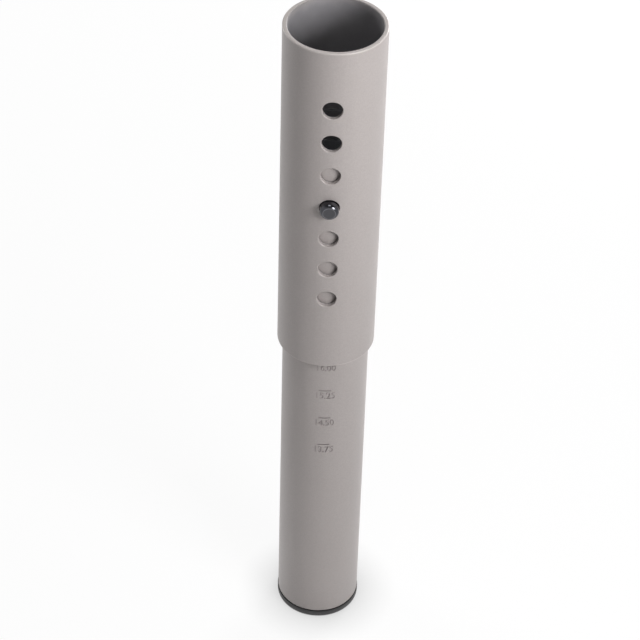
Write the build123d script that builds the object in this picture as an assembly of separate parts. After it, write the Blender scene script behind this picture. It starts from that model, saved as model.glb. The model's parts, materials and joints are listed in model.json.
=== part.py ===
"""Adjustable furniture leg: a leg tube slides in a drilled sleeve and locks with a spring button.

Millimetres, +Z up. The origin is the centre of the foot's underside and the height holes face -Y.
The leg is drawn with the button out through the middle height hole.
"""

import os

from build123d import *

# Height holes
HOLE_COUNT = 7
HOLE_IN_USE = 4  # counted from the top of the sleeve
HOLE_PITCH = 19.05  # three quarters of an inch, the step of the height scale
HOLE_EDGE_RADIUS = 0.4

# Sleeve
SLEEVE_OD = 50.0
SLEEVE_WALL = 2.3
SLEEVE_ABOVE_HOLES = 31.75  # sleeve's top to the centre of its highest hole
SLEEVE_BELOW_HOLES = 44.45  # sleeve's lower end to the centre of its lowest hole

# Leg tube
LEG_WALL = 2.0
LEG_LENGTH = 313.0
LEG_ABOVE_BUTTON = 25.4  # leg's top to the centre of the button
SLIDE_CLEARANCE = 0.45  # all round, between leg and sleeve
TUBE_EDGE_RADIUS = 0.5

# Lock button
BUTTON_DIAMETER = 9.2
BUTTON_FACE_DIAMETER = 6.2
BUTTON_PROUD = 4.4  # beyond the sleeve's outside
BUTTON_SHOULDER_DEPTH = 1.6  # from the flat face back to the straight side
BUTTON_SHOULDER_RADIUS = 3.0  # of the crowned bevel between them
BUTTON_CLEARANCE = 0.2  # all round, between button and holes
SHANK_DIAMETER = 5.0
STAKE_DIAMETER = 7.4
STAKE_HEIGHT = 1.0
STAKE_EDGE_RADIUS = 0.6

# Spring clip
CLIP_WIDTH = 12.0
CLIP_THICKNESS = 1.0
CLIP_PAD_LENGTH = 18.0  # flat pad, centred on the button
CLIP_DROP = 46.0  # button's centre to the point where the two legs would meet
CLIP_BEND_RADIUS = 5.0  # to the middle of the strip
CLIP_PAD_BEND_RADIUS = 4.0
CLIP_CORNER_RADIUS = 4.0
CLIP_SEAT_GAP = 0.05  # between the pads' corners and the leg's bore
SHANK_CLEARANCE = 0.03

# Foot plug
FLANGE_THICKNESS = 4.5
FLANGE_OVERHANG = 0.25  # beyond the leg's outside
FLANGE_LOWER_RADIUS = 1.2
FLANGE_UPPER_RADIUS = 0.4
BARREL_LENGTH = 24.0
BARREL_WALL = 2.2
BARREL_LEAD_IN = 0.8
FIN_COUNT = 5
FIN_HEIGHT = 1.2
FIN_BASE = 2.4
FIN_TIP = 0.5
FIN_GAP = 0.05  # between the fins' tips and the leg's bore

# Sizes that follow from the ones above
SLEEVE_RADIUS = SLEEVE_OD / 2
SLEEVE_LENGTH = SLEEVE_BELOW_HOLES + (HOLE_COUNT - 1) * HOLE_PITCH + SLEEVE_ABOVE_HOLES
LEG_RADIUS = SLEEVE_RADIUS - SLEEVE_WALL - SLIDE_CLEARANCE
BORE_RADIUS = LEG_RADIUS - LEG_WALL
HOLE_DIAMETER = BUTTON_DIAMETER + 2 * BUTTON_CLEARANCE
BUTTON_HEIGHT = FLANGE_THICKNESS + LEG_LENGTH - LEG_ABOVE_BUTTON
SLEEVE_BOTTOM = BUTTON_HEIGHT - (HOLE_COUNT - HOLE_IN_USE) * HOLE_PITCH - SLEEVE_BELOW_HOLES
PAD_FACE = (BORE_RADIUS**2 - (CLIP_WIDTH / 2) ** 2) ** 0.5 - CLIP_SEAT_GAP
PAD_BACK = PAD_FACE - CLIP_THICKNESS
BARREL_RADIUS = BORE_RADIUS - FIN_GAP - FIN_HEIGHT


def front_plane(height):
    """A plane on the leg's axis at this height, looking out through the front (-Y)."""
    return Plane(origin=(0, 0, height), x_dir=(1, 0, 0), z_dir=(0, -1, 0))


def round_tube(radius, wall, bottom, length):
    """A round tube on the Z axis with its end edges rounded."""
    section = Pos(radius - wall / 2, bottom + length / 2) * RectangleRounded(wall, length, TUBE_EDGE_RADIUS)
    return revolve(Plane.XZ * section, Axis.Z)


def front_hole(height):
    """The drill for one height hole, from the axis out through the front."""
    drill = Cylinder(HOLE_DIAMETER / 2, SLEEVE_OD, align=(Align.CENTER, Align.CENTER, Align.MIN))
    return front_plane(height) * drill


def is_outer_rim(edge, radius):
    """Whether an edge is where a hole meets the outside of a tube of this radius."""
    start = edge @ 0
    on_outside = abs(Vector(start.X, start.Y).length - radius) < 0.001
    return on_outside and edge.geom_type not in (GeomType.CIRCLE, GeomType.LINE)


def drilled_tube(radius, wall, bottom, length, hole_heights):
    """A tube with holes in its front, each with a rounded outer edge."""
    tube = round_tube(radius, wall, bottom, length)
    tube -= [front_hole(height) for height in hole_heights]
    rims = [edge for edge in tube.edges() if is_outer_rim(edge, radius)]
    return fillet(rims, HOLE_EDGE_RADIUS)


def make_sleeve():
    """Sleeve with its line of height holes."""
    lowest = SLEEVE_BOTTOM + SLEEVE_BELOW_HOLES
    heights = [lowest + step * HOLE_PITCH for step in range(HOLE_COUNT)]
    return drilled_tube(SLEEVE_RADIUS, SLEEVE_WALL, SLEEVE_BOTTOM, SLEEVE_LENGTH, heights)


def make_leg():
    """Leg tube, standing on the foot's flange, with one hole for the button."""
    return drilled_tube(LEG_RADIUS, LEG_WALL, FLANGE_THICKNESS, LEG_LENGTH, [BUTTON_HEIGHT])


def make_button():
    """Turned button: flat-faced head with a crowned bevel, shank through the strip, staked behind it."""
    head = BUTTON_DIAMETER / 2
    shank = SHANK_DIAMETER / 2
    stake = STAKE_DIAMETER / 2
    crown = SLEEVE_RADIUS + BUTTON_PROUD
    tail = PAD_BACK - STAKE_HEIGHT
    body = Polyline(
        (0, tail),
        (stake, tail),
        (stake, PAD_BACK),
        (shank, PAD_BACK),
        (shank, PAD_FACE),
        (head, PAD_FACE),
        (head, crown - BUTTON_SHOULDER_DEPTH),
    )
    shoulder = RadiusArc((BUTTON_FACE_DIAMETER / 2, crown), body @ 1, BUTTON_SHOULDER_RADIUS)
    face = Polyline(shoulder @ 0, (0, crown), body @ 0)
    profile = make_face(body + shoulder + face)
    stake_edge = profile.vertices().sort_by_distance((stake, tail))[0]
    profile = fillet(stake_edge, STAKE_EDGE_RADIUS)
    turned = revolve(Plane.XZ * profile, Axis.Z)
    return front_plane(BUTTON_HEIGHT) * turned


def make_clip():
    """V-shaped spring strip: two pads on the bore, joined by a bend below."""
    middle = PAD_FACE - CLIP_THICKNESS / 2
    pad_top = BUTTON_HEIGHT + CLIP_PAD_LENGTH / 2
    pad_bottom = BUTTON_HEIGHT - CLIP_PAD_LENGTH / 2
    path = FilletPolyline(
        (0, -middle, pad_top),
        (0, -middle, pad_bottom),
        (0, 0, BUTTON_HEIGHT - CLIP_DROP),
        (0, middle, pad_bottom),
        (0, middle, pad_top),
        radius=(CLIP_PAD_BEND_RADIUS, CLIP_BEND_RADIUS, CLIP_PAD_BEND_RADIUS),
    )
    start = Plane(origin=path @ 0, x_dir=(1, 0, 0), z_dir=path % 0)
    strip = sweep(start * Rectangle(CLIP_WIDTH, CLIP_THICKNESS), path=path)
    corners = [edge for edge in strip.edges().filter_by(Axis.Y) if abs(edge.center().Z - pad_top) < 0.01]
    strip = fillet(corners, CLIP_CORNER_RADIUS)
    hole = Cylinder(
        SHANK_DIAMETER / 2 + SHANK_CLEARANCE, SLEEVE_OD, align=(Align.CENTER, Align.CENTER, Align.MIN)
    )
    return strip - front_plane(BUTTON_HEIGHT) * hole


def make_plug():
    """Moulded end plug: flange under the leg, hollow barrel in its bore with ring fins."""
    flange = Cylinder(
        LEG_RADIUS + FLANGE_OVERHANG, FLANGE_THICKNESS, align=(Align.CENTER, Align.CENTER, Align.MIN)
    )
    flange = fillet(flange.edges().sort_by(Axis.Z)[:1], FLANGE_LOWER_RADIUS)
    flange = fillet(flange.faces().sort_by(Axis.Z)[-1].edges(), FLANGE_UPPER_RADIUS)
    barrel_top = FLANGE_THICKNESS + BARREL_LENGTH
    wall = Polyline(
        (BARREL_RADIUS - BARREL_WALL, FLANGE_THICKNESS),
        (BARREL_RADIUS, FLANGE_THICKNESS),
        (BARREL_RADIUS, barrel_top - BARREL_LEAD_IN),
        (BARREL_RADIUS - BARREL_LEAD_IN, barrel_top),
        (BARREL_RADIUS - BARREL_WALL, barrel_top),
        close=True,
    )
    plug = flange + revolve(Plane.XZ * make_face(wall), Axis.Z)
    fin_pitch = BARREL_LENGTH / (FIN_COUNT + 0.5)
    for number in range(FIN_COUNT):
        base = FLANGE_THICKNESS + (number + 0.5) * fin_pitch
        fin = Polyline(
            (BARREL_RADIUS - BARREL_WALL / 2, base),
            (BARREL_RADIUS + FIN_HEIGHT, base),
            (BARREL_RADIUS + FIN_HEIGHT, base + FIN_TIP),
            (BARREL_RADIUS, base + FIN_BASE),
            (BARREL_RADIUS - BARREL_WALL / 2, base + FIN_BASE),
            close=True,
        )
        plug += revolve(Plane.XZ * make_face(fin), Axis.Z)
    return plug


pieces = {
    "sleeve_tube": make_sleeve(),
    "leg_tube": make_leg(),
    "lock_button": make_button(),
    "spring_clip": make_clip(),
    "foot_plug": make_plug(),
}

os.makedirs("parts", exist_ok=True)
for name, piece in pieces.items():
    export_step(piece, f"parts/{name}.step")
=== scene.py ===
"""Dressed scene of an adjustable furniture leg.

A painted leg tube stands in a drilled sleeve and is held by a spring button.
"""

import json
import logging
import math
from dataclasses import dataclass
from enum import Enum
from typing import Any

import bpy
from mathutils import Matrix, Vector

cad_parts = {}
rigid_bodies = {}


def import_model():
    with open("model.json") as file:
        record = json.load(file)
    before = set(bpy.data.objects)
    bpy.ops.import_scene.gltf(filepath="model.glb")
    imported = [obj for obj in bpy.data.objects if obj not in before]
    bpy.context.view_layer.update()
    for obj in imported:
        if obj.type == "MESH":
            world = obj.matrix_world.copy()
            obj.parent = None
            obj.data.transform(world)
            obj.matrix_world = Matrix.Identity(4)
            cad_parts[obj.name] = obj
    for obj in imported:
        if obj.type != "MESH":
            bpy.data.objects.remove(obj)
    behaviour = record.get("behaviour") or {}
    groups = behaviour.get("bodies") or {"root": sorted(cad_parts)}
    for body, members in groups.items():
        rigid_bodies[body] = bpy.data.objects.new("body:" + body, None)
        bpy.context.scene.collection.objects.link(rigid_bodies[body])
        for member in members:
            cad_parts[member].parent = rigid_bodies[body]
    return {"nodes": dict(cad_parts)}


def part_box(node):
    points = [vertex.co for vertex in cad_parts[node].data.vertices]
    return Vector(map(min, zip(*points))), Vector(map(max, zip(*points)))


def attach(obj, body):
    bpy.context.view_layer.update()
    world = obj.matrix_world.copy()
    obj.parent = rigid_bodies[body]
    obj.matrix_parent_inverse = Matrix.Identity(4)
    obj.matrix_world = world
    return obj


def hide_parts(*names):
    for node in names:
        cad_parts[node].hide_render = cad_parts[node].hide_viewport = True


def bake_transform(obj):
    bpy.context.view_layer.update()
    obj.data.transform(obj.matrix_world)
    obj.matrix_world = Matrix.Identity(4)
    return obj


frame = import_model()

LOG = logging.getLogger("furniture_leg")
MM = 0.001
WELD_GAP = 0.0001 * MM
SELECT_GAP = 0.05 * MM
SMOOTH_ANGLE = math.radians(35)
IMAGE_PIXELS = 640
WHITE = "#ffffff"

# Middle range of a noise texture's values
NOISE_LOW = 0.25
NOISE_HIGH = 0.75

# Sockets of a Mix node that mixes colours, by number because several share a name
MIX_FACTOR = 0
MIX_FIRST = 6
MIX_SECOND = 7
MIX_RESULT = 2


class Body(Enum):
    """The rigid bodies that pieces ride on."""

    LEG = "leg"
    BUTTON = "button"


class Slot(Enum):
    """The record's finishes."""

    SILVER_PAINT = "silver_paint"
    SPRING_STEEL = "spring_steel"


def linear_colour(hex_colour: str) -> tuple[float, float, float, float]:
    """Turn an sRGB hex colour into linear RGBA.

    Args:
        hex_colour: six hex digits with a leading hash.

    Returns:
        Linear red, green, blue and an alpha of 1.
    """
    channels = [int(hex_colour[start:start + 2], 16) / 255 for start in (1, 3, 5)]
    linear = [c / 12.92 if c <= 0.04045 else ((c + 0.055) / 1.055) ** 2.4 for c in channels]
    return (linear[0], linear[1], linear[2], 1.0)


def add_node(
    tree: bpy.types.NodeTree, kind: str, settings: dict[Any, Any], links: dict[Any, Any]
) -> Any:
    """Add one node with its settings and links.

    Args:
        tree: the node tree to add to.
        kind: the node's type, without its ShaderNode prefix.
        settings: values by input name, input number or property name.
        links: output sockets by input name or number.

    Returns:
        The new node.
    """
    node = tree.nodes.new("ShaderNode" + kind)
    properties = [key for key in settings if isinstance(key, str) and hasattr(node, key)]
    for key in properties:
        setattr(node, key, settings[key])
    for key, value in settings.items():
        if key not in properties:
            node.inputs[key].default_value = value
    for key, socket in links.items():
        tree.links.new(socket, node.inputs[key])
    return node


def new_material(name: str) -> tuple[bpy.types.Material, bpy.types.NodeTree]:
    """Make an empty node material.

    Args:
        name: the material's name.

    Returns:
        The material and its emptied node tree.
    """
    material = bpy.data.materials.new(name)
    material.use_nodes = True
    material.node_tree.nodes.clear()
    return material, material.node_tree


@dataclass(frozen=True)
class PaintedTube:
    """Silver-grey powder coat on welded steel tube, sprayed on the outside only.

    The coat is smooth with a slight orange peel and fine flake, so it has a broad soft shine.
    The flake is drawn at about ten times its real size, because it would be too fine to show.
    The edges of a sawn end are paler: a painted highlight along the rims, with the coat drawn thin
    there.
    The bore keeps its grey mill scale, with a little overspray near the open ends, and a bare sawn
    end is painted dark as shade.
    """

    name: str
    coat_radius: float
    low_end: float
    high_end: float
    overspray_share: float
    colour: str = "#a59e9c"
    flake_colour: str = "#aca5a3"
    scale_colour: str = "#828083"
    scale_light_colour: str = "#8e8c8f"
    pale_edge_highlight_colour: str = "#c2bbb8"
    sawn_end_shade_colour: str = "#444346"
    end_edge: float = 0.9 * MM
    coat_edge: float = 0.4 * MM
    overspray: float = 5 * MM
    overspray_unevenness: float = 4 * MM
    flake_size: float = 0.5 * MM
    flake_free_share: float = 0.2
    peel_size: float = 1.6 * MM
    peel_depth: float = 0.05 * MM
    peel_strength: float = 0.08
    blotch_size: float = 6 * MM
    coat_roughness: float = 0.42
    scale_roughness: float = 0.62
    metallic: float = 0.1
    ior: float = 1.5

    def material(self) -> bpy.types.Material:
        """Build the material.

        Returns:
            The finished material.
        """
        material, tree = new_material(self.name)
        place = add_node(tree, "TexCoord", {}, {}).outputs["Object"]
        axes = add_node(tree, "SeparateXYZ", {}, {"Vector": place})
        flat = add_node(tree, "CombineXYZ", {}, {"X": axes.outputs["X"], "Y": axes.outputs["Y"]})
        radius = add_node(tree, "VectorMath", {"operation": "LENGTH"}, {0: flat.outputs["Vector"]})
        outside = add_node(
            tree,
            "MapRange",
            {
                "interpolation_type": "SMOOTHSTEP",
                "From Min": self.coat_radius,
                "From Max": self.coat_radius + self.coat_edge,
            },
            {"Value": radius.outputs["Value"]},
        )
        blotch = add_node(
            tree,
            "TexNoise",
            {"Scale": 1 / self.blotch_size, "Detail": 3.0},
            {"Vector": place},
        )
        middle = (self.low_end + self.high_end) / 2
        half = self.high_end - middle
        offset = add_node(tree, "Math", {"operation": "SUBTRACT", 1: middle}, {0: axes.outputs["Z"]})
        distance = add_node(tree, "Math", {"operation": "ABSOLUTE"}, {0: offset.outputs["Value"]})
        at_end = add_node(
            tree,
            "MapRange",
            {"From Min": half - self.end_edge, "From Max": half},
            {"Value": distance.outputs["Value"]},
        )
        overspray = self._overspray(tree, half, distance.outputs["Value"], blotch.outputs["Fac"])
        painted = add_node(
            tree,
            "Math",
            {"operation": "MAXIMUM"},
            {0: outside.outputs["Result"], 1: overspray},
        )
        flakes = add_node(
            tree,
            "TexVoronoi",
            {"Scale": 1 / self.flake_size},
            {"Vector": place},
        )
        flake_share = add_node(
            tree,
            "MapRange",
            {"From Min": self.flake_free_share, "From Max": 1.0},
            {"Value": flakes.outputs["Color"]},
        )
        paint = add_node(
            tree,
            "Mix",
            {
                "data_type": "RGBA",
                MIX_FIRST: linear_colour(self.colour),
                MIX_SECOND: linear_colour(self.flake_colour),
            },
            {MIX_FACTOR: flake_share.outputs["Result"]},
        )
        scale = add_node(
            tree,
            "Mix",
            {
                "data_type": "RGBA",
                MIX_FIRST: linear_colour(self.scale_colour),
                MIX_SECOND: linear_colour(self.scale_light_colour),
            },
            {MIX_FACTOR: blotch.outputs["Fac"]},
        )
        # Paler edge colour at the ends: painted highlight along the rims, with the thin coat there
        coat = add_node(
            tree,
            "Mix",
            {"data_type": "RGBA", MIX_SECOND: linear_colour(self.pale_edge_highlight_colour)},
            {MIX_FACTOR: at_end.outputs["Result"], MIX_FIRST: paint.outputs[MIX_RESULT]},
        )
        # Dark colour on the bare sawn end: painted shade
        steel = add_node(
            tree,
            "Mix",
            {"data_type": "RGBA", MIX_SECOND: linear_colour(self.sawn_end_shade_colour)},
            {MIX_FACTOR: at_end.outputs["Result"], MIX_FIRST: scale.outputs[MIX_RESULT]},
        )
        colour = add_node(
            tree,
            "Mix",
            {"data_type": "RGBA"},
            {
                MIX_FACTOR: painted.outputs["Value"],
                MIX_FIRST: steel.outputs[MIX_RESULT],
                MIX_SECOND: coat.outputs[MIX_RESULT],
            },
        )
        roughness = add_node(
            tree,
            "MapRange",
            {"To Min": self.scale_roughness, "To Max": self.coat_roughness},
            {"Value": painted.outputs["Value"]},
        )
        peel = add_node(
            tree,
            "TexNoise",
            {"Scale": 1 / self.peel_size, "Detail": 2.0},
            {"Vector": place},
        )
        bump = add_node(
            tree,
            "Bump",
            {"Strength": self.peel_strength, "Distance": self.peel_depth},
            {"Height": peel.outputs["Fac"]},
        )
        shader = add_node(
            tree,
            "BsdfPrincipled",
            {"Metallic": self.metallic, "IOR": self.ior},
            {
                "Base Color": colour.outputs[MIX_RESULT],
                "Roughness": roughness.outputs["Result"],
                "Normal": bump.outputs["Normal"],
            },
        )
        add_node(tree, "OutputMaterial", {}, {"Surface": shader.outputs["BSDF"]})
        return material

    def _overspray(self, tree: bpy.types.NodeTree, half: float, distance: Any, blotch: Any) -> Any:
        """Paint share inside the bore, which fades from each open end.

        Args:
            tree: the material's node tree.
            half: half of the tube's length.
            distance: socket with the distance from the tube's mid-length.
            blotch: socket with the noise that breaks up the fade's edge.

        Returns:
            The socket with the paint share.
        """
        uneven = add_node(
            tree,
            "Math",
            {
                "operation": "MULTIPLY_ADD",
                1: self.overspray_unevenness,
                2: -self.overspray_unevenness / 2,
            },
            {0: blotch},
        )
        reach = add_node(
            tree,
            "Math",
            {"operation": "ADD"},
            {0: distance, 1: uneven.outputs["Value"]},
        )
        fade = add_node(
            tree,
            "MapRange",
            {
                "interpolation_type": "SMOOTHSTEP",
                "From Min": half - self.overspray,
                "From Max": half,
                "To Max": self.overspray_share,
            },
            {"Value": reach.outputs["Value"]},
        )
        return fade.outputs["Result"]


@dataclass(frozen=True)
class GrooveShadedPaint:
    """The same powder coat in a pressed groove, painted darker as shade in the recess, mottled where it
    pooled.
    """

    name: str = "powder_coat_with_painted_groove_shade"
    colour: str = "#a09997"
    pooled_shade_colour: str = "#928c8b"
    pool_size: float = 0.8 * MM
    roughness: float = 0.5
    metallic: float = 0.2
    ior: float = 1.5

    def material(self) -> bpy.types.Material:
        """Build the material.

        Returns:
            The finished material.
        """
        material, tree = new_material(self.name)
        place = add_node(tree, "TexCoord", {}, {}).outputs["Object"]
        pooled = add_node(tree, "TexNoise", {"Scale": 1 / self.pool_size}, {"Vector": place})
        # Both colours are darker than the tube's coat: painted shade in the groove
        colour = add_node(
            tree,
            "Mix",
            {
                "data_type": "RGBA",
                MIX_FIRST: linear_colour(self.colour),
                MIX_SECOND: linear_colour(self.pooled_shade_colour),
            },
            {MIX_FACTOR: pooled.outputs["Fac"]},
        )
        shader = add_node(
            tree,
            "BsdfPrincipled",
            {"Metallic": self.metallic, "Roughness": self.roughness, "IOR": self.ior},
            {"Base Color": colour.outputs[MIX_RESULT]},
        )
        add_node(tree, "OutputMaterial", {}, {"Surface": shader.outputs["BSDF"]})
        return material


@dataclass(frozen=True)
class BlackPolyethylene:
    """Moulded black polyethylene: matt, with a fine spark-eroded grain.

    The edge under the tube is kept black as painted shade in the gap, and rougher there, and the side
    is scuffed grey towards the floor.
    """

    scuff_low: float
    scuff_high: float
    name: str = "moulded_black_polyethylene"
    colour: str = "#121213"
    scuffed_colour: str = "#504f50"
    gap_width: float = 0.7 * MM
    scuff_size: float = 5 * MM
    scuff_least: float = 0.45
    grain_size: float = 0.4 * MM
    grain_depth: float = 0.05 * MM
    grain_strength: float = 0.25
    roughness: float = 0.5
    gap_roughness: float = 1.0
    ior: float = 1.51

    def material(self) -> bpy.types.Material:
        """Build the material.

        Returns:
            The finished material.
        """
        material, tree = new_material(self.name)
        place = add_node(tree, "TexCoord", {}, {}).outputs["Object"]
        scuffs = add_node(
            tree,
            "TexNoise",
            {"Scale": 1 / self.scuff_size, "Detail": 5.0, "Roughness": 0.65},
            {"Vector": place},
        )
        patchy = add_node(
            tree,
            "MapRange",
            {"From Min": NOISE_LOW, "From Max": NOISE_HIGH, "To Min": self.scuff_least},
            {"Value": scuffs.outputs["Fac"]},
        )
        axes = add_node(tree, "SeparateXYZ", {}, {"Vector": place})
        # Black at the top under the tube is painted shade; grey scuff patches lower down are wear
        wear_and_painted_light = add_node(
            tree,
            "MapRange",
            {
                "interpolation_type": "SMOOTHSTEP",
                "From Min": self.scuff_high,
                "From Max": self.scuff_low,
            },
            {"Value": axes.outputs["Z"]},
        )
        share = add_node(
            tree,
            "Math",
            {"operation": "MULTIPLY"},
            {0: patchy.outputs["Result"], 1: wear_and_painted_light.outputs["Result"]},
        )
        colour = add_node(
            tree,
            "Mix",
            {
                "data_type": "RGBA",
                MIX_FIRST: linear_colour(self.colour),
                MIX_SECOND: linear_colour(self.scuffed_colour),
            },
            {MIX_FACTOR: share.outputs["Value"]},
        )
        grain = add_node(
            tree,
            "TexNoise",
            {"Scale": 1 / self.grain_size, "Detail": 1.0},
            {"Vector": place},
        )
        bump = add_node(
            tree,
            "Bump",
            {"Strength": self.grain_strength, "Distance": self.grain_depth},
            {"Height": grain.outputs["Fac"]},
        )
        roughness = add_node(
            tree,
            "MapRange",
            {
                "From Min": self.scuff_high - self.gap_width,
                "From Max": self.scuff_high,
                "To Min": self.roughness,
                "To Max": self.gap_roughness,
            },
            {"Value": axes.outputs["Z"]},
        )
        shader = add_node(
            tree,
            "BsdfPrincipled",
            {"IOR": self.ior},
            {
                "Base Color": colour.outputs[MIX_RESULT],
                "Roughness": roughness.outputs["Result"],
                "Normal": bump.outputs["Normal"],
            },
        )
        add_node(tree, "OutputMaterial", {}, {"Surface": shader.outputs["BSDF"]})
        return material


@dataclass(frozen=True)
class BlackNickel:
    """Black nickel plate on a turned steel button: a dark mirror with faint rings from the lathe.

    Fingers have rubbed the flat face to a greyer satin. Its edge is a brighter ring, worn plating with
    a painted highlight, and the bevel and side keep their black.
    """

    name: str
    axis_height: float
    face_radius: float
    colour: str = "#4a4a4d"
    ring_colour: str = "#565659"
    bevel_colour: str = "#47474b"
    worn_highlight_colour: str = "#77777b"
    face_edge: float = 0.12 * MM
    worn_highlight_width: float = 0.5 * MM
    ring_pitch: float = 0.35 * MM
    face_roughness: float = 0.2
    bevel_roughness: float = 0.05

    def material(self) -> bpy.types.Material:
        """Build the material.

        Returns:
            The finished material.
        """
        material, tree = new_material(self.name)
        place = add_node(tree, "TexCoord", {}, {}).outputs["Object"]
        centred = add_node(
            tree,
            "Mapping",
            {"Location": (0.0, 0.0, -self.axis_height), "Scale": (1.0, 0.0, 1.0)},
            {"Vector": place},
        )
        radius = add_node(tree, "VectorMath", {"operation": "LENGTH"}, {0: centred.outputs["Vector"]})
        turns = add_node(
            tree,
            "Math",
            {"operation": "MULTIPLY", 1: 2 * math.pi / self.ring_pitch},
            {0: radius.outputs["Value"]},
        )
        rings = add_node(tree, "Math", {"operation": "SINE"}, {0: turns.outputs["Value"]})
        share = add_node(tree, "MapRange", {"From Min": -1.0}, {"Value": rings.outputs["Value"]})
        colour = add_node(
            tree,
            "Mix",
            {
                "data_type": "RGBA",
                MIX_FIRST: linear_colour(self.colour),
                MIX_SECOND: linear_colour(self.ring_colour),
            },
            {MIX_FACTOR: share.outputs["Result"]},
        )
        bevel = add_node(
            tree,
            "MapRange",
            {"From Min": self.face_radius - self.face_edge, "From Max": self.face_radius},
            {"Value": radius.outputs["Value"]},
        )
        plate = add_node(
            tree,
            "Mix",
            {"data_type": "RGBA", MIX_SECOND: linear_colour(self.bevel_colour)},
            {MIX_FACTOR: bevel.outputs["Result"], MIX_FIRST: colour.outputs[MIX_RESULT]},
        )
        offset = add_node(
            tree,
            "Math",
            {"operation": "SUBTRACT", 1: self.face_radius},
            {0: radius.outputs["Value"]},
        )
        distance = add_node(tree, "Math", {"operation": "ABSOLUTE"}, {0: offset.outputs["Value"]})
        # Brighter ring on the face's edge: wear and a painted highlight
        wear_and_painted_light = add_node(
            tree,
            "MapRange",
            {"From Min": self.worn_highlight_width / 2, "From Max": 0.0},
            {"Value": distance.outputs["Value"]},
        )
        rubbed_highlight = add_node(
            tree,
            "Mix",
            {"data_type": "RGBA", MIX_SECOND: linear_colour(self.worn_highlight_colour)},
            {MIX_FACTOR: wear_and_painted_light.outputs["Result"], MIX_FIRST: plate.outputs[MIX_RESULT]},
        )
        roughness = add_node(
            tree,
            "MapRange",
            {"To Min": self.face_roughness, "To Max": self.bevel_roughness},
            {"Value": bevel.outputs["Result"]},
        )
        shader = add_node(
            tree,
            "BsdfPrincipled",
            {"Metallic": 1.0},
            {"Base Color": rubbed_highlight.outputs[MIX_RESULT], "Roughness": roughness.outputs["Result"]},
        )
        add_node(tree, "OutputMaterial", {}, {"Surface": shader.outputs["BSDF"]})
        return material


@dataclass(frozen=True)
class PhosphatedSpringSteel:
    """Hardened spring strip with a zinc phosphate coat: satin blue-grey, with fine rolling lines.

    The sheared ends are bare and painted dark as shade.
    """

    end_height: float
    name: str = "phosphated_spring_steel"
    colour: str = "#8c8c91"
    tint_colour: str = "#7e7e85"
    sheared_end_shade_colour: str = "#4a4a4d"
    sheared_edge: float = 0.3 * MM
    line_pitch: float = 0.5 * MM
    lengthwise_scale: float = 0.05
    least_roughness: float = 0.4
    most_roughness: float = 0.55
    metallic: float = 0.4

    def material(self) -> bpy.types.Material:
        """Build the material.

        Returns:
            The finished material.
        """
        material, tree = new_material(self.name)
        place = add_node(tree, "TexCoord", {}, {}).outputs["Object"]
        across = 1 / self.line_pitch
        along = self.lengthwise_scale / self.line_pitch
        stretched = add_node(
            tree,
            "Mapping",
            {"Scale": (across, along, along)},
            {"Vector": place},
        )
        lines = add_node(
            tree,
            "TexNoise",
            {"Scale": 1.0, "Detail": 3.0},
            {"Vector": stretched.outputs["Vector"]},
        )
        colour = add_node(
            tree,
            "Mix",
            {
                "data_type": "RGBA",
                MIX_FIRST: linear_colour(self.colour),
                MIX_SECOND: linear_colour(self.tint_colour),
            },
            {MIX_FACTOR: lines.outputs["Fac"]},
        )
        axes = add_node(tree, "SeparateXYZ", {}, {"Vector": place})
        at_end = add_node(
            tree,
            "MapRange",
            {"From Min": self.end_height - self.sheared_edge, "From Max": self.end_height},
            {"Value": axes.outputs["Z"]},
        )
        # Dark colour on the sheared end: painted shade
        strip = add_node(
            tree,
            "Mix",
            {"data_type": "RGBA", MIX_SECOND: linear_colour(self.sheared_end_shade_colour)},
            {MIX_FACTOR: at_end.outputs["Result"], MIX_FIRST: colour.outputs[MIX_RESULT]},
        )
        roughness = add_node(
            tree,
            "MapRange",
            {"To Min": self.least_roughness, "To Max": self.most_roughness},
            {"Value": lines.outputs["Fac"]},
        )
        shader = add_node(
            tree,
            "BsdfPrincipled",
            {"Metallic": self.metallic},
            {"Base Color": strip.outputs[MIX_RESULT], "Roughness": roughness.outputs["Result"]},
        )
        add_node(tree, "OutputMaterial", {}, {"Surface": shader.outputs["BSDF"]})
        return material


def start_piece(name: str) -> bpy.types.Object:
    """Name the piece that was just added, which is the active object.

    Args:
        name: the piece's name.

    Returns:
        The piece.
    """
    piece = bpy.context.view_layer.objects.active
    piece.name = name
    piece.data.name = name
    return piece


def only(piece: bpy.types.Object) -> None:
    """Select one piece and make it active.

    Args:
        piece: the piece to work on.
    """
    bpy.ops.object.select_all(action="DESELECT")
    piece.select_set(True)
    bpy.context.view_layer.objects.active = piece


def settle(piece: bpy.types.Object) -> None:
    """Put a piece's place, turn and scale into its mesh.

    Args:
        piece: the piece to settle.
    """
    only(piece)
    bpy.ops.object.transform_apply(location=True, rotation=True, scale=True)


def apply_modifier(piece: bpy.types.Object, kind: str, settings: dict[str, Any]) -> None:
    """Add a modifier and apply it.

    Args:
        piece: the piece to change.
        kind: the modifier's type.
        settings: values by property name.
    """
    only(piece)
    modifier = piece.modifiers.new(kind.lower(), kind)
    for key, value in settings.items():
        setattr(modifier, key, value)
    bpy.ops.object.modifier_apply(modifier=modifier.name)


def cut_away(piece: bpy.types.Object, cutter: bpy.types.Object) -> None:
    """Cut one piece out of another and remove the cutter.

    Args:
        piece: the piece that is cut.
        cutter: the piece that is taken away.
    """
    settings = {
        "operation": "DIFFERENCE",
        "solver": "EXACT",
        "object": cutter,
        "material_mode": "TRANSFER",
    }
    apply_modifier(piece, "BOOLEAN", settings)
    bpy.data.objects.remove(cutter, do_unlink=True)


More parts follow.
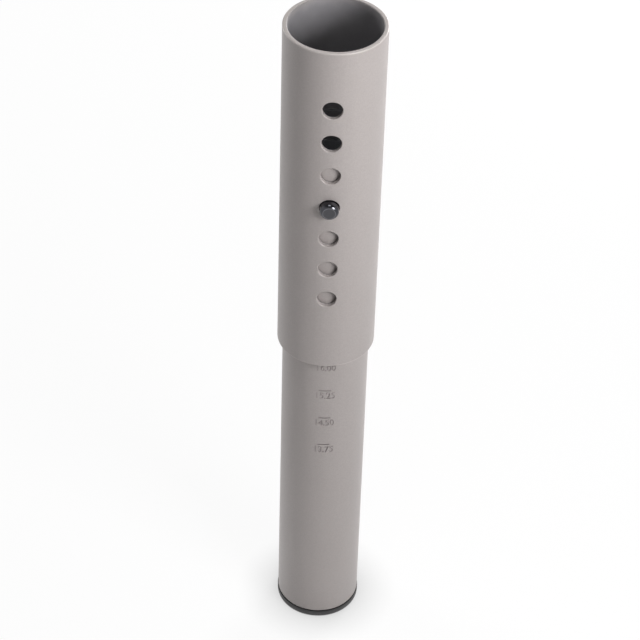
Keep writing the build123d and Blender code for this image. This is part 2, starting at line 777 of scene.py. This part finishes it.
def keep_main_shell(piece: bpy.types.Object) -> None:
    """Keep the shell that holds the largest face, without the slivers of a cut, and close it.

    Args:
        piece: the piece that was cut.
    """
    only(piece)
    bpy.ops.object.mode_set(mode="EDIT")
    bpy.ops.mesh.select_mode(type="EDGE")
    bpy.ops.mesh.select_all(action="DESELECT")
    bpy.ops.mesh.select_non_manifold(extend=False, use_verts=False)
    bpy.ops.mesh.edge_split(type="EDGE")
    bpy.ops.mesh.select_mode(type="FACE")
    bpy.ops.mesh.select_all(action="DESELECT")
    bpy.ops.object.mode_set(mode="OBJECT")
    largest = max(piece.data.polygons, key=lambda face: face.area)
    largest.select = True
    bpy.ops.object.mode_set(mode="EDIT")
    bpy.ops.mesh.select_linked()
    bpy.ops.mesh.select_all(action="INVERT")
    bpy.ops.mesh.delete(type="FACE")
    bpy.ops.mesh.select_all(action="SELECT")
    bpy.ops.mesh.remove_doubles(threshold=WELD_GAP)
    bpy.ops.mesh.fill_holes(sides=0)
    bpy.ops.object.mode_set(mode="OBJECT")


def dress(piece: bpy.types.Object, material: bpy.types.Material) -> None:
    """Give a piece one finish all over.

    Args:
        piece: a new piece or a CAD node.
        material: the finish.
    """
    slots = piece.material_slots
    if len(slots) == 0:
        piece.data.materials.append(material)
    for slot in slots:
        slot.material = material


@dataclass
class HeightScale:
    """The heights pressed into the front of the leg, a short line above each number.

    The die is flatter than the tube, leans a little and is tilted, so the first digits and the upper
    numbers are the shallowest.
    """

    radius: float
    top_line: float
    step: float
    labels: tuple[str, ...] = ("18.25", "17.50", "16.75", "16.00", "15.25", "14.50", "13.75")
    line_width: float = 6.4 * MM
    stroke: float = 0.6 * MM
    line_drop: float = 0.35 * MM
    line_offset: float = 0.75 * MM
    number_offset: float = 1.05 * MM
    number_height: float = 4.4 * MM
    number_width: float = 9.8 * MM
    number_drop: float = 1.6 * MM
    digit_share: float = 0.73  # of the font's size
    line_depth: float = 0.4 * MM
    depth: float = 0.44 * MM
    slope: float = 0.28 * MM
    boldness: float = 0.15 * MM
    above: float = 0.6 * MM  # of the die, outside the tube
    die_radius: float = 40 * MM
    die_lean: float = math.radians(2.2)
    die_tilt: float = math.radians(0.08)
    line_cuts: int = 9
    curve_steps: int = 3

    def heights(self) -> list[float]:
        """Heights of the lines, from the top."""
        return [self.top_line - number * self.step for number in range(len(self.labels))]

    def cutter(self, material: bpy.types.Material) -> bpy.types.Object:
        """Model all lines and numbers as one curved cutter on the front of the leg.

        Args:
            material: the finish of the pressed faces.

        Returns:
            The cutter.
        """
        parts = []
        for label, height in zip(self.labels, self.heights()):
            parts.append(self._line(height))
            parts.append(self._number(label, height))
        bpy.ops.object.select_all(action="DESELECT")
        for part in parts:
            part.select_set(True)
        bpy.context.view_layer.objects.active = parts[0]
        bpy.ops.object.join()
        cutter = start_piece("scale_cutter")
        self._merge_crossings(cutter)
        cutter.data.materials.clear()
        cutter.data.materials.append(material)
        xs = [vertex.co.x for vertex in cutter.data.vertices]
        angle = (max(xs) - min(xs)) / self.die_radius
        bend = {"deform_method": "BEND", "deform_axis": "Z", "angle": angle}
        apply_modifier(cutter, "SIMPLE_DEFORM", bend)
        middle = self.heights()[len(self.labels) // 2]
        cutter.rotation_euler = (self.die_tilt, 0.0, self.die_lean)
        cutter.location = (0.0, middle * math.sin(self.die_tilt) - self.radius, 0.0)
        settle(cutter)
        return cutter

    def _merge_crossings(self, cutter: bpy.types.Object) -> None:
        """Merge walls that cross in tight corners of the digits, by keeping what lies in a large block.

        Args:
            cutter: the flat lines and numbers.
        """
        bpy.ops.object.select_all(action="DESELECT")
        bpy.ops.mesh.primitive_cube_add(size=2 * self.top_line)
        block = start_piece("scale_block")
        settings = {"operation": "INTERSECT", "solver": "EXACT", "object": block, "use_self": True}
        apply_modifier(cutter, "BOOLEAN", settings)
        bpy.data.objects.remove(block, do_unlink=True)

    def _line(self, height: float) -> bpy.types.Object:
        """Model one line, flat on the XZ plane.

        Args:
            height: the line's middle.

        Returns:
            The line.
        """
        bpy.ops.object.select_all(action="DESELECT")
        bpy.ops.mesh.primitive_cube_add(size=1.0)
        line = start_piece("scale_line")
        line.scale = (self.line_width, 2 * self.line_depth, self.stroke)
        line.location = (self.line_offset, 0.0, height - self.line_drop)
        settle(line)
        bpy.ops.object.mode_set(mode="EDIT")
        bpy.ops.mesh.select_all(action="SELECT")
        bpy.ops.mesh.subdivide(number_cuts=self.line_cuts)
        bpy.ops.object.mode_set(mode="OBJECT")
        return line

    def _number(self, label: str, height: float) -> bpy.types.Object:
        """Model one number, flat on the XZ plane.

        Args:
            label: the number's text.
            height: the middle of the line above it.

        Returns:
            The number as a mesh.
        """
        bpy.ops.object.select_all(action="DESELECT")
        bpy.ops.object.text_add()
        text = bpy.context.view_layer.objects.active
        text.data.body = label
        text.data.align_x = "CENTER"
        text.data.align_y = "TOP_BASELINE"
        text.data.resolution_u = self.curve_steps
        text.data.size = self.number_height / self.digit_share
        only(text)
        bpy.ops.object.convert(target="CURVE")
        number = start_piece("scale_number")
        points = [point.co for spline in number.data.splines for point in spline.bezier_points]
        low = [min(point[axis] for point in points) for axis in range(2)]
        high = [max(point[axis] for point in points) for axis in range(2)]
        wide = (self.number_width - 2 * self.boldness) / (high[0] - low[0])
        tall = (self.number_height - 2 * self.boldness) / (high[1] - low[1])
        number.scale = (wide, tall, 1.0)
        bpy.ops.object.transform_apply(location=False, rotation=False, scale=True)
        number.data.extrude = (self.depth + self.above) / 2 - self.slope
        number.data.bevel_depth = self.slope
        number.data.bevel_resolution = 0
        number.data.offset = self.boldness - self.slope
        only(number)
        bpy.ops.object.convert(target="MESH")
        number.rotation_euler = (math.pi / 2, 0.0, 0.0)
        number.location = (
            self.number_offset - wide * (low[0] + high[0]) / 2,
            (self.depth - self.above) / 2,
            height - self.number_drop - self.boldness - tall * high[1],
        )
        settle(number)
        return number


@dataclass
class StampedLeg:
    """The leg tube: round steel tube, one button hole, height scale pressed into its front."""

    radius: float
    wall: float
    bottom: float
    top: float
    hole_radius: float
    hole_height: float
    scale: HeightScale
    segments: int = 288
    hole_segments: int = 96
    end_radius: float = 0.5 * MM
    end_segments: int = 4
    end_angle: float = math.radians(60)

    def build(self, paint: bpy.types.Material, stamping: bpy.types.Material) -> bpy.types.Object:
        """Model the tube and press its scale.

        Args:
            paint: the tube's finish.
            stamping: the finish in the pressed marks.

        Returns:
            The finished piece.
        """
        bpy.ops.object.select_all(action="DESELECT")
        bpy.ops.mesh.primitive_cylinder_add(
            vertices=self.segments,
            radius=self.radius,
            depth=self.top - self.bottom,
            end_fill_type="NOTHING",
            location=(0.0, 0.0, (self.top + self.bottom) / 2),
        )
        leg = start_piece("leg_tube_stamped")
        settle(leg)
        self._ring_cuts()
        apply_modifier(leg, "SOLIDIFY", {"thickness": self.wall, "offset": -1.0})
        rounding = {
            "width": self.end_radius,
            "segments": self.end_segments,
            "angle_limit": self.end_angle,
        }
        apply_modifier(leg, "BEVEL", rounding)
        leg.data.materials.append(paint)
        cut_away(leg, self._hole_cutter(paint))
        cut_away(leg, self.scale.cutter(stamping))
        keep_main_shell(leg)
        bpy.ops.object.shade_smooth_by_angle(angle=SMOOTH_ANGLE)
        return leg

    def _ring_cuts(self) -> None:
        """Cut rings round the active tube, so that long faces end near each mark and hole."""
        levels = [self.hole_height - 2 * self.hole_radius, self.hole_height + 2 * self.hole_radius]
        margin = 2 * self.scale.stroke
        for height in self.scale.heights():
            levels.append(height + margin)
            levels.append(height - self.scale.number_drop - self.scale.number_height - margin)
        bpy.ops.object.mode_set(mode="EDIT")
        for level in levels:
            bpy.ops.mesh.select_all(action="SELECT")
            bpy.ops.mesh.bisect(plane_co=(0.0, 0.0, level), plane_no=(0.0, 0.0, 1.0))
        bpy.ops.object.mode_set(mode="OBJECT")

    def _hole_cutter(self, material: bpy.types.Material) -> bpy.types.Object:
        """Model the drill for the button's hole.

        Args:
            material: the finish of the hole's wall.

        Returns:
            The cutter.
        """
        bpy.ops.object.select_all(action="DESELECT")
        bpy.ops.mesh.primitive_cylinder_add(
            vertices=self.hole_segments,
            radius=self.hole_radius,
            depth=3 * self.wall,
            location=(0.0, -self.radius, self.hole_height),
            rotation=(math.pi / 2, 0.0, 0.0),
        )
        cutter = start_piece("hole_cutter")
        settle(cutter)
        cutter.data.materials.append(material)
        return cutter


@dataclass
class BentClip:
    """The spring strip in the leg's bore: two pads joined by a V-shaped bend below."""

    button_height: float
    pad_middle: float
    pad_top: float
    pad_bottom: float
    apex: float
    thickness: float
    width: float = 12.0 * MM
    bend_radius: float = 5.0 * MM
    pad_bend_radius: float = 4.0 * MM
    corner_radius: float = 4.0 * MM
    shank_radius: float = 2.53 * MM
    edge_radius: float = 0.12 * MM
    edge_angle: float = math.radians(50)
    edge_segments: int = 2
    bend_segments: int = 12
    corner_segments: int = 8
    hole_segments: int = 48
    leg_cuts: int = 11

    def build(self, steel: bpy.types.Material) -> bpy.types.Object:
        """Model the strip.

        Args:
            steel: the strip's finish.

        Returns:
            The finished piece.
        """
        bpy.ops.object.select_all(action="DESELECT")
        bpy.ops.mesh.primitive_plane_add(size=1.0, rotation=(math.pi / 2, 0.0, 0.0))
        clip = start_piece("spring_clip_bent")
        clip.scale = (self.width, self.pad_top - self.pad_bottom, 1.0)
        clip.location = (0.0, -self.pad_middle, (self.pad_top + self.pad_bottom) / 2)
        settle(clip)
        self._fold()
        self._round_bends(clip)
        sheet = {"thickness": self.thickness, "offset": 0.0, "use_even_offset": True}
        apply_modifier(clip, "SOLIDIFY", sheet)
        self._drill(clip)
        edge = {
            "width": self.edge_radius,
            "segments": self.edge_segments,
            "angle_limit": self.edge_angle,
            "use_clamp_overlap": False,
        }
        apply_modifier(clip, "BEVEL", edge)
        only(clip)
        bpy.ops.object.shade_smooth_by_angle(angle=SMOOTH_ANGLE)
        dress(clip, steel)
        return clip

    def _fold(self) -> None:
        """Extrude the active plane's lower edge down to the bend and up the other side."""
        steps = [
            (0.0, self.pad_middle, self.apex - self.pad_bottom),
            (0.0, self.pad_middle, self.pad_bottom - self.apex),
            (0.0, 0.0, self.pad_top - self.pad_bottom),
        ]
        clip = bpy.context.view_layer.objects.active
        for vertex in clip.data.vertices:
            vertex.select = vertex.co.z < self.pad_bottom + SELECT_GAP
        for edge in clip.data.edges:
            edge.select = all(clip.data.vertices[index].select for index in edge.vertices)
        for face in clip.data.polygons:
            face.select = False
        bpy.ops.object.mode_set(mode="EDIT")
        bpy.ops.mesh.select_mode(type="EDGE")
        for step in steps:
            bpy.ops.mesh.extrude_region_move(TRANSFORM_OT_translate={"value": step})
        bpy.ops.object.mode_set(mode="OBJECT")

    def _round_bends(self, clip: bpy.types.Object) -> None:
        """Round the three folds and the four end corners, then cut the legs into bands.

        Args:
            clip: the folded strip.
        """
        slope = math.atan2(self.pad_middle, self.pad_bottom - self.apex)
        folds = [
            (self.apex, self.bend_radius * math.tan(math.pi / 2 - slope)),
            (self.pad_bottom, self.pad_bend_radius * math.tan(slope / 2)),
        ]
        for height, width in folds:
            self._select_edges(clip, height)
            bpy.ops.object.mode_set(mode="EDIT")
            bpy.ops.mesh.bevel(offset=width, segments=self.bend_segments, affect="EDGES")
            bpy.ops.object.mode_set(mode="OBJECT")
        for vertex in clip.data.vertices:
            vertex.select = vertex.co.z > self.pad_top - SELECT_GAP
        bpy.ops.object.mode_set(mode="EDIT")
        bpy.ops.mesh.select_mode(type="VERT")
        bpy.ops.mesh.bevel(
            offset=self.corner_radius, segments=self.corner_segments, affect="VERTICES"
        )
        span = self.pad_bottom - self.apex
        for number in range(1, self.leg_cuts + 1):
            level = self.apex + span * number / (self.leg_cuts + 1)
            bpy.ops.mesh.select_all(action="SELECT")
            bpy.ops.mesh.bisect(plane_co=(0.0, 0.0, level), plane_no=(0.0, 0.0, 1.0))
        bpy.ops.object.mode_set(mode="OBJECT")

    def _select_edges(self, clip: bpy.types.Object, height: float) -> None:
        """Select the strip's cross edges at one height.

        Args:
            clip: the strip.
            height: the edges' height.
        """
        mesh = clip.data
        for part in list(mesh.vertices) + list(mesh.polygons):
            part.select = False
        for edge in mesh.edges:
            ends = [mesh.vertices[index].co for index in edge.vertices]
            level = all(abs(end.z - height) < SELECT_GAP for end in ends)
            edge.select = level and abs(ends[0].x - ends[1].x) > self.width / 2
        only(clip)
        bpy.ops.object.mode_set(mode="EDIT")
        bpy.ops.mesh.select_mode(type="EDGE")
        bpy.ops.object.mode_set(mode="OBJECT")

    def _drill(self, clip: bpy.types.Object) -> None:
        """Drill the front pad for the button's shank.

        Args:
            clip: the strip.
        """
        bpy.ops.object.select_all(action="DESELECT")
        bpy.ops.mesh.primitive_cylinder_add(
            vertices=self.hole_segments,
            radius=self.shank_radius,
            depth=4 * self.thickness,
            location=(0.0, -self.pad_middle, self.button_height),
            rotation=(math.pi / 2, 0.0, 0.0),
        )
        cutter = start_piece("shank_cutter")
        settle(cutter)
        cut_away(clip, cutter)


@dataclass(frozen=True)
class SoftBox:
    """A square soft light that faces the leg: its place and side in metres, its power in watts."""

    name: str
    place: tuple[float, float, float]
    side: float
    power: float


@dataclass
class Studio:
    """Pale floor, soft lights and the camera."""

    floor_size: float = 6.0
    floor_colour: str = "#f4f4f4"
    floor_glow: float = 0.9
    contact_reach: float = 24 * MM
    contact_depth: float = 0.6
    contact_samples: int = 16
    ambient: float = 0.05
    ceiling: float = 0.25
    wall_top: float = math.radians(15)
    ceiling_edge: float = math.radians(60)
    sensor_width: float = 36.0
    focal_pixels: float = 2349.0
    azimuth: float = math.radians(0.6)
    elevation: float = math.radians(40.549)
    roll: float = math.radians(1.759)
    distance: float = 1.208
    target: tuple[float, float, float] = (-0.003146, 0.0, 0.19999)
    soft_boxes: tuple[SoftBox, ...] = (
        SoftBox("key_lamp", (0.283, -0.294, 0.482), 0.2, 2.05),
        SoftBox("left_lamp", (-1.146, 0.716, 0.642), 0.5, 7.0),
        SoftBox("back_lamp", (0.676, 1.171, 0.642), 0.5, 17.0),
        SoftBox("top_lamp", (0.0, -0.28, 1.42), 0.45, 3.0),
    )

    def build(self) -> None:
        """Make the floor, the world, the lamps and the camera."""
        self._floor()
        self._world()
        for soft_box in self.soft_boxes:
            self._lamp(soft_box)
        self._camera()
        bpy.context.scene.view_settings.view_transform = "Standard"

    def _seen_directly(self, tree: bpy.types.NodeTree) -> Any:
        """Share that is 1 where a ray comes from the camera, a reflection or glass.

        Args:
            tree: the node tree.

        Returns:
            The socket with the share.
        """
        rays = add_node(tree, "LightPath", {}, {})
        mirror = add_node(
            tree,
            "Math",
            {"operation": "MAXIMUM"},
            {0: rays.outputs["Is Glossy Ray"], 1: rays.outputs["Is Transmission Ray"]},
        )
        seen = add_node(
            tree,
            "Math",
            {"operation": "MAXIMUM"},
            {0: rays.outputs["Is Camera Ray"], 1: mirror.outputs["Value"]},
        )
        return seen.outputs["Value"]

    def _floor(self) -> None:
        """Make a pale floor that keeps a soft shadow and is shaded close to the foot."""
        bpy.ops.object.select_all(action="DESELECT")
        bpy.ops.mesh.primitive_plane_add(size=self.floor_size)
        floor = start_piece("studio_floor")
        material, tree = new_material("pale_studio_floor")
        paper = add_node(tree, "BsdfDiffuse", {"Color": linear_colour(self.floor_colour)}, {})
        open_sky = add_node(
            tree,
            "AmbientOcclusion",
            {"samples": self.contact_samples, "Distance": self.contact_reach},
            {},
        )
        level = add_node(
            tree,
            "MapRange",
            {"To Min": 1 - self.contact_depth},
            {"Value": open_sky.outputs["AO"]},
        )
        glow = add_node(
            tree,
            "Emission",
            {"Color": linear_colour(WHITE)},
            {"Strength": level.outputs["Result"]},
        )
        seen = self._seen_directly(tree)
        share = add_node(tree, "Math", {"operation": "MULTIPLY", 1: self.floor_glow}, {0: seen})
        mix = add_node(
            tree,
            "MixShader",
            {},
            {0: share.outputs["Value"], 1: paper.outputs["BSDF"], 2: glow.outputs["Emission"]},
        )
        add_node(tree, "OutputMaterial", {}, {"Surface": mix.outputs["Shader"]})
        floor.data.materials.append(material)

    def _world(self) -> None:
        """Make a white surround with soft light. Reflections show it under a dim ceiling."""
        world = bpy.data.worlds.new("studio_surround")
        world.use_nodes = True
        tree = world.node_tree
        tree.nodes.clear()
        way = add_node(tree, "TexCoord", {}, {}).outputs["Generated"]
        rise = add_node(tree, "SeparateXYZ", {}, {"Vector": way}).outputs["Z"]
        room = add_node(
            tree,
            "MapRange",
            {
                "interpolation_type": "SMOOTHSTEP",
                "From Min": math.sin(self.wall_top),
                "From Max": math.sin(self.ceiling_edge),
                "To Min": 1.0,
                "To Max": self.ceiling,
            },
            {"Value": rise},
        )
        rays = add_node(tree, "LightPath", {}, {})
        # Sockets 2 and 3 are the two numbers that are mixed
        level = add_node(
            tree,
            "Mix",
            {2: 1.0},
            {MIX_FACTOR: rays.outputs["Is Glossy Ray"], 3: room.outputs["Result"]},
        )
        soft = add_node(
            tree,
            "Background",
            {"Color": linear_colour(WHITE), "Strength": self.ambient},
            {},
        )
        white = add_node(
            tree,
            "Background",
            {"Color": linear_colour(WHITE)},
            {"Strength": level.outputs[0]},
        )
        mix = add_node(
            tree,
            "MixShader",
            {},
            {
                0: self._seen_directly(tree),
                1: soft.outputs["Background"],
                2: white.outputs["Background"],
            },
        )
        add_node(tree, "OutputWorld", {}, {"Surface": mix.outputs["Shader"]})
        bpy.context.scene.world = world

    def _lamp(self, soft_box: SoftBox) -> None:
        """Make one soft light.

        Args:
            soft_box: the light's name, place, side and power.
        """
        data = bpy.data.lights.new(soft_box.name, "AREA")
        data.size = soft_box.side
        data.energy = soft_box.power
        lamp = bpy.data.objects.new(soft_box.name, data)
        lamp.location = soft_box.place
        aim = Vector(self.target) - Vector(soft_box.place)
        lamp.rotation_euler = aim.to_track_quat("-Z", "Y").to_euler()
        lamp.visible_camera = False
        bpy.context.scene.collection.objects.link(lamp)

    def _camera(self) -> None:
        """Place the camera at the photograph's viewing angle."""
        data = bpy.data.cameras.new("camera")
        data.sensor_width = self.sensor_width
        data.lens = self.focal_pixels / IMAGE_PIXELS * self.sensor_width
        camera = bpy.data.objects.new("camera", data)
        ahead = Vector((-math.sin(self.azimuth), math.cos(self.azimuth), 0.0))
        right = Vector((math.cos(self.azimuth), math.sin(self.azimuth), 0.0))
        vertical = Vector((0.0, 0.0, 1.0))
        back = -math.cos(self.elevation) * ahead + math.sin(self.elevation) * vertical
        up = math.sin(self.elevation) * ahead + math.cos(self.elevation) * vertical
        turned_right = math.cos(self.roll) * right + math.sin(self.roll) * up
        turned_up = math.cos(self.roll) * up - math.sin(self.roll) * right
        eye = Vector(self.target) + self.distance * back
        columns = Matrix((turned_right, turned_up, back)).transposed()
        camera.matrix_world = Matrix.Translation(eye) @ columns.to_4x4()
        bpy.context.scene.collection.objects.link(camera)
        bpy.context.scene.camera = camera


@dataclass
class FurnitureLeg:
    """The whole leg: its CAD nodes, their finishes and the pieces that stand for two of them."""

    sleeve_wall: float = 2.3 * MM
    sleeve_overspray: float = 0.35
    leg_wall: float = 2.0 * MM
    leg_overspray: float = 0.0
    hole_radius: float = 4.8 * MM
    hole_pitch: float = 19.05 * MM
    marks_in_sleeve: int = 3
    clip_pad: float = 18.0 * MM
    clip_drop: float = 46.0 * MM
    clip_thickness: float = 1.0 * MM
    clip_flex_start: float = 4.0 * MM
    sleeve_coat_gap: float = 0.1 * MM
    leg_coat_depth: float = 0.5 * MM
    button_face_radius: float = 3.1 * MM
    flange: float = 4.5 * MM
    scuff_low: float = 1.5 * MM

    def build(self) -> list[bpy.types.Object]:
        """Dress the CAD nodes and model the new pieces.

        Returns:
            The pieces that show.
        """
        nodes = frame["nodes"]
        sleeve_low, sleeve_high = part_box("sleeve_tube")
        leg_low, leg_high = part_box("leg_tube")
        button_low, button_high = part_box("lock_button")
        _, clip_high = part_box("spring_clip")
        button_height = (button_low.z + button_high.z) / 2
        sleeve_bore = sleeve_high.y - self.sleeve_wall
        sleeve_paint = PaintedTube(
            "powder_coated_sleeve",
            sleeve_bore + self.sleeve_coat_gap,
            sleeve_low.z,
            sleeve_high.z,
            self.sleeve_overspray,
        ).material()
        leg_paint = PaintedTube(
            "powder_coated_leg",
            leg_high.y - self.leg_coat_depth,
            leg_low.z,
            leg_high.z,
            self.leg_overspray,
            scale_colour="#6f6d70",
            scale_light_colour="#7b797c",
            pale_edge_highlight_colour="#a59e9c",
        ).material()
        dress(nodes["sleeve_tube"], sleeve_paint)
        plate = BlackNickel("black_nickel_button", button_height, self.button_face_radius)
        dress(nodes["lock_button"], plate.material())
        dress(nodes["foot_plug"], BlackPolyethylene(self.scuff_low, self.flange).material())
        top_line = sleeve_low.z + self.marks_in_sleeve * self.hole_pitch
        scale = HeightScale(leg_high.y, top_line, self.hole_pitch)
        stamped = StampedLeg(
            leg_high.y, self.leg_wall, leg_low.z, leg_high.z, self.hole_radius, button_height, scale
        )
        leg = stamped.build(leg_paint, GrooveShadedPaint().material())
        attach(leg, Body.LEG.value)
        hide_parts("leg_tube")
        middle = clip_high.y - self.clip_thickness / 2
        bent = BentClip(
            button_height,
            middle,
            button_height + self.clip_pad / 2,
            button_height - self.clip_pad / 2,
            button_height - self.clip_drop,
            self.clip_thickness,
        )
        clip = bent.build(PhosphatedSpringSteel(clip_high.z).material())
        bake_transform(clip)
        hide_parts("spring_clip")
        return [nodes["sleeve_tube"], leg, nodes["lock_button"], clip, nodes["foot_plug"]]


def main() -> None:
    """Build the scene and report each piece."""
    logging.basicConfig(level=logging.INFO, format="%(name)s: %(message)s")
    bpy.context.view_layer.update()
    for piece in FurnitureLeg().build():
        LOG.info("%s has %d faces", piece.name, len(piece.data.polygons))
    Studio().build()


if __name__ == "__main__":
    main()
